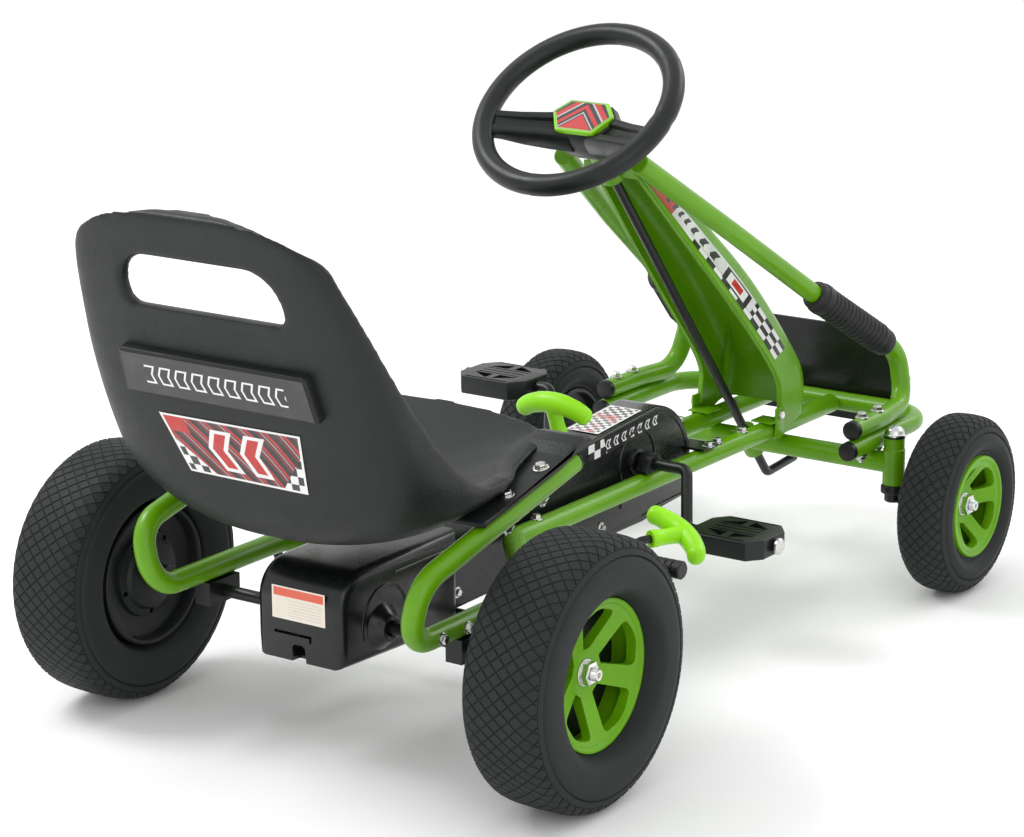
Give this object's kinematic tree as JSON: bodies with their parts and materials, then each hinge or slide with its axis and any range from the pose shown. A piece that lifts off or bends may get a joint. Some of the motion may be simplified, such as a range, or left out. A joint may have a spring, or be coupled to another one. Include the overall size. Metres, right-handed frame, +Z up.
{
  "type": "pedal go-kart",
  "caption": "Child's pedal go-kart: bent tube frame, bucket seat, wide tyres, chain drive to the rear axle, tilted steering wheel, T-handled brake and gear levers.",
  "frame": {"origin": "on the ground under the middle of the kart's bounding box", "axes": "+X to the driver's right, +Y forward, +Z up"},
  "size_m": [0.6092, 1.0771, 0.617],
  "materials": {
    "green_paint": "gloss",
    "green_plastic": "satin",
    "black_plastic": "satin",
    "black_gloss_plastic": "gloss",
    "black_steel": "satin",
    "tyre_rubber": "matte",
    "grip_rubber": "matte",
    "zinc_plate": "bright",
    "seat_plastic": "textured"
  },
  "bodies": {
    "frame": {"main_tube_right": "green_paint", "main_tube_left": "green_paint", "front_hoop": "green_paint", "front_axle_beam": "green_paint", "nose_tube_right": "green_paint", "nose_tube_left": "green_paint", "nose_grip_right": "grip_rubber", "nose_grip_left": "grip_rubber", "steering_tower": "green_paint", "head_bush": "green_paint", "nose_panel": "black_gloss_plastic", "chain_guard": "black_gloss_plastic", "chain_case": "black_gloss_plastic", "crank_bearing_right": "black_steel", "crank_bearing_left": "black_steel", "axle_bearing_right": "black_steel", "axle_bearing_left": "black_steel", "brake_hanger_right": "black_steel", "brake_hanger_left": "black_steel", "drive_chain": "black_steel", "hoop_cap_right": "black_plastic", "hoop_cap_left": "black_plastic", "nose_cap_right": "black_plastic", "nose_cap_left": "black_plastic"},
    "seat": {"seat_shell": "seat_plastic", "seat_back_bar": "black_plastic"},
    "steering": {"steering_wheel": "black_plastic", "hub_badge": "green_plastic", "steering_column": "black_steel"},
    "knuckle_right": {"steering_knuckle_right": "black_steel", "kingpin_nut_right": "zinc_plate"},
    "knuckle_left": {"steering_knuckle_left": "black_steel", "kingpin_nut_left": "zinc_plate"},
    "front_wheel_right": {"front_right_tyre": "tyre_rubber", "front_right_rim": "green_paint", "front_right_hub_nut": "zinc_plate"},
    "front_wheel_left": {"front_left_tyre": "tyre_rubber", "front_left_rim": "green_paint", "front_left_hub_nut": "zinc_plate"},
    "tie_rod_right": {"tie_rod_right": "black_steel"},
    "tie_rod_left": {"tie_rod_left": "black_steel"},
    "rear_axle": {"rear_axle": "black_steel", "rear_sprocket": "black_steel", "rear_right_tyre": "tyre_rubber", "rear_right_rim": "green_paint", "rear_right_hub_nut": "zinc_plate", "rear_left_hub_nut": "zinc_plate"},
    "rear_wheel_left": {"rear_left_tyre": "tyre_rubber", "rear_left_rim": "green_paint"},
    "crank": {"crank": "black_steel", "chainring": "black_steel"},
    "pedal_right": {"pedal_right": "black_plastic"},
    "pedal_left": {"pedal_left": "black_plastic"},
    "gear_lever": {"gear_lever": "black_steel", "gear_handle": "green_plastic"},
    "brake": {"brake_bar": "black_steel", "brake_handle": "green_plastic", "brake_pad_right": "grip_rubber", "brake_pad_left": "grip_rubber"}
  },
  "joints": [
    {"name": "seat_adjust", "type": "slide", "parent": "frame", "child": "seat", "axis": [0, 0.9735, 0.2285], "range_m": [-0.04, 0.02]},
    {"name": "steering_turn", "type": "hinge", "parent": "frame", "child": "steering", "pos_m": [0, 0.0605, 0.542], "axis": [0, -0.6353, 0.7723], "range_deg": [-25, 25]},
    {"name": "knuckle_right_turn", "type": "hinge", "parent": "frame", "child": "knuckle_right", "pos_m": [0.18, 0.4025, 0.127], "axis": [0, 0, 1], "range_deg": [-25, 25]},
    {"name": "knuckle_left_turn", "type": "hinge", "parent": "frame", "child": "knuckle_left", "pos_m": [-0.18, 0.4025, 0.127], "axis": [0, 0, 1], "range_deg": [-25, 25]},
    {"name": "front_wheel_right_spin", "type": "hinge", "parent": "knuckle_right", "child": "front_wheel_right", "pos_m": [0.2566, 0.4025, 0.0957], "axis": [1, 0, 0], "continuous": true},
    {"name": "front_wheel_left_spin", "type": "hinge", "parent": "knuckle_left", "child": "front_wheel_left", "pos_m": [-0.2566, 0.4025, 0.0957], "axis": [1, 0, 0], "continuous": true},
    {"name": "tie_rod_right_pivot", "type": "hinge", "parent": "knuckle_right", "child": "tie_rod_right", "pos_m": [0.18, 0.4522, 0.1], "axis": [0, 0, 1], "range_deg": [-25, 25]},
    {"name": "tie_rod_left_pivot", "type": "hinge", "parent": "knuckle_left", "child": "tie_rod_left", "pos_m": [-0.18, 0.4522, 0.091], "axis": [0, 0, 1], "range_deg": [-25, 25]},
    {"name": "rear_axle_spin", "type": "hinge", "parent": "frame", "child": "rear_axle", "pos_m": [0, -0.3325, 0.125], "axis": [1, 0, 0], "continuous": true},
    {"name": "rear_wheel_left_spin", "type": "hinge", "parent": "rear_axle", "child": "rear_wheel_left", "pos_m": [-0.2616, -0.3325, 0.125], "axis": [1, 0, 0], "continuous": true},
    {"name": "crank_spin", "type": "hinge", "parent": "frame", "child": "crank", "pos_m": [0, 0.1345, 0.168], "axis": [1, 0, 0], "continuous": true},
    {"name": "pedal_right_spin", "type": "hinge", "parent": "crank", "child": "pedal_right", "pos_m": [0.165, 0.10315, 0.11684], "axis": [1, 0, 0], "continuous": true},
    {"name": "pedal_left_spin", "type": "hinge", "parent": "crank", "child": "pedal_left", "pos_m": [-0.165, 0.16585, 0.21916], "axis": [1, 0, 0], "continuous": true},
    {"name": "gear_lever_swing", "type": "hinge", "parent": "frame", "child": "gear_lever", "pos_m": [0.009, 0.0395, 0.15], "axis": [1, 0, 0], "range_deg": [-14, 6]},
    {"name": "brake_swing", "type": "hinge", "parent": "frame", "child": "brake", "pos_m": [0, -0.1605, 0.082], "axis": [1, 0, 0], "range_deg": [0, 5]}
  ],
  "couplings": [
    {"joint": "knuckle_right_turn", "follows": "steering_turn", "ratio": 1},
    {"joint": "knuckle_left_turn", "follows": "steering_turn", "ratio": 1},
    {"joint": "tie_rod_right_pivot", "follows": "steering_turn", "ratio": -1},
    {"joint": "tie_rod_left_pivot", "follows": "steering_turn", "ratio": -1},
    {"joint": "crank_spin", "follows": "rear_axle_spin", "ratio": 0.61111}
  ]
}
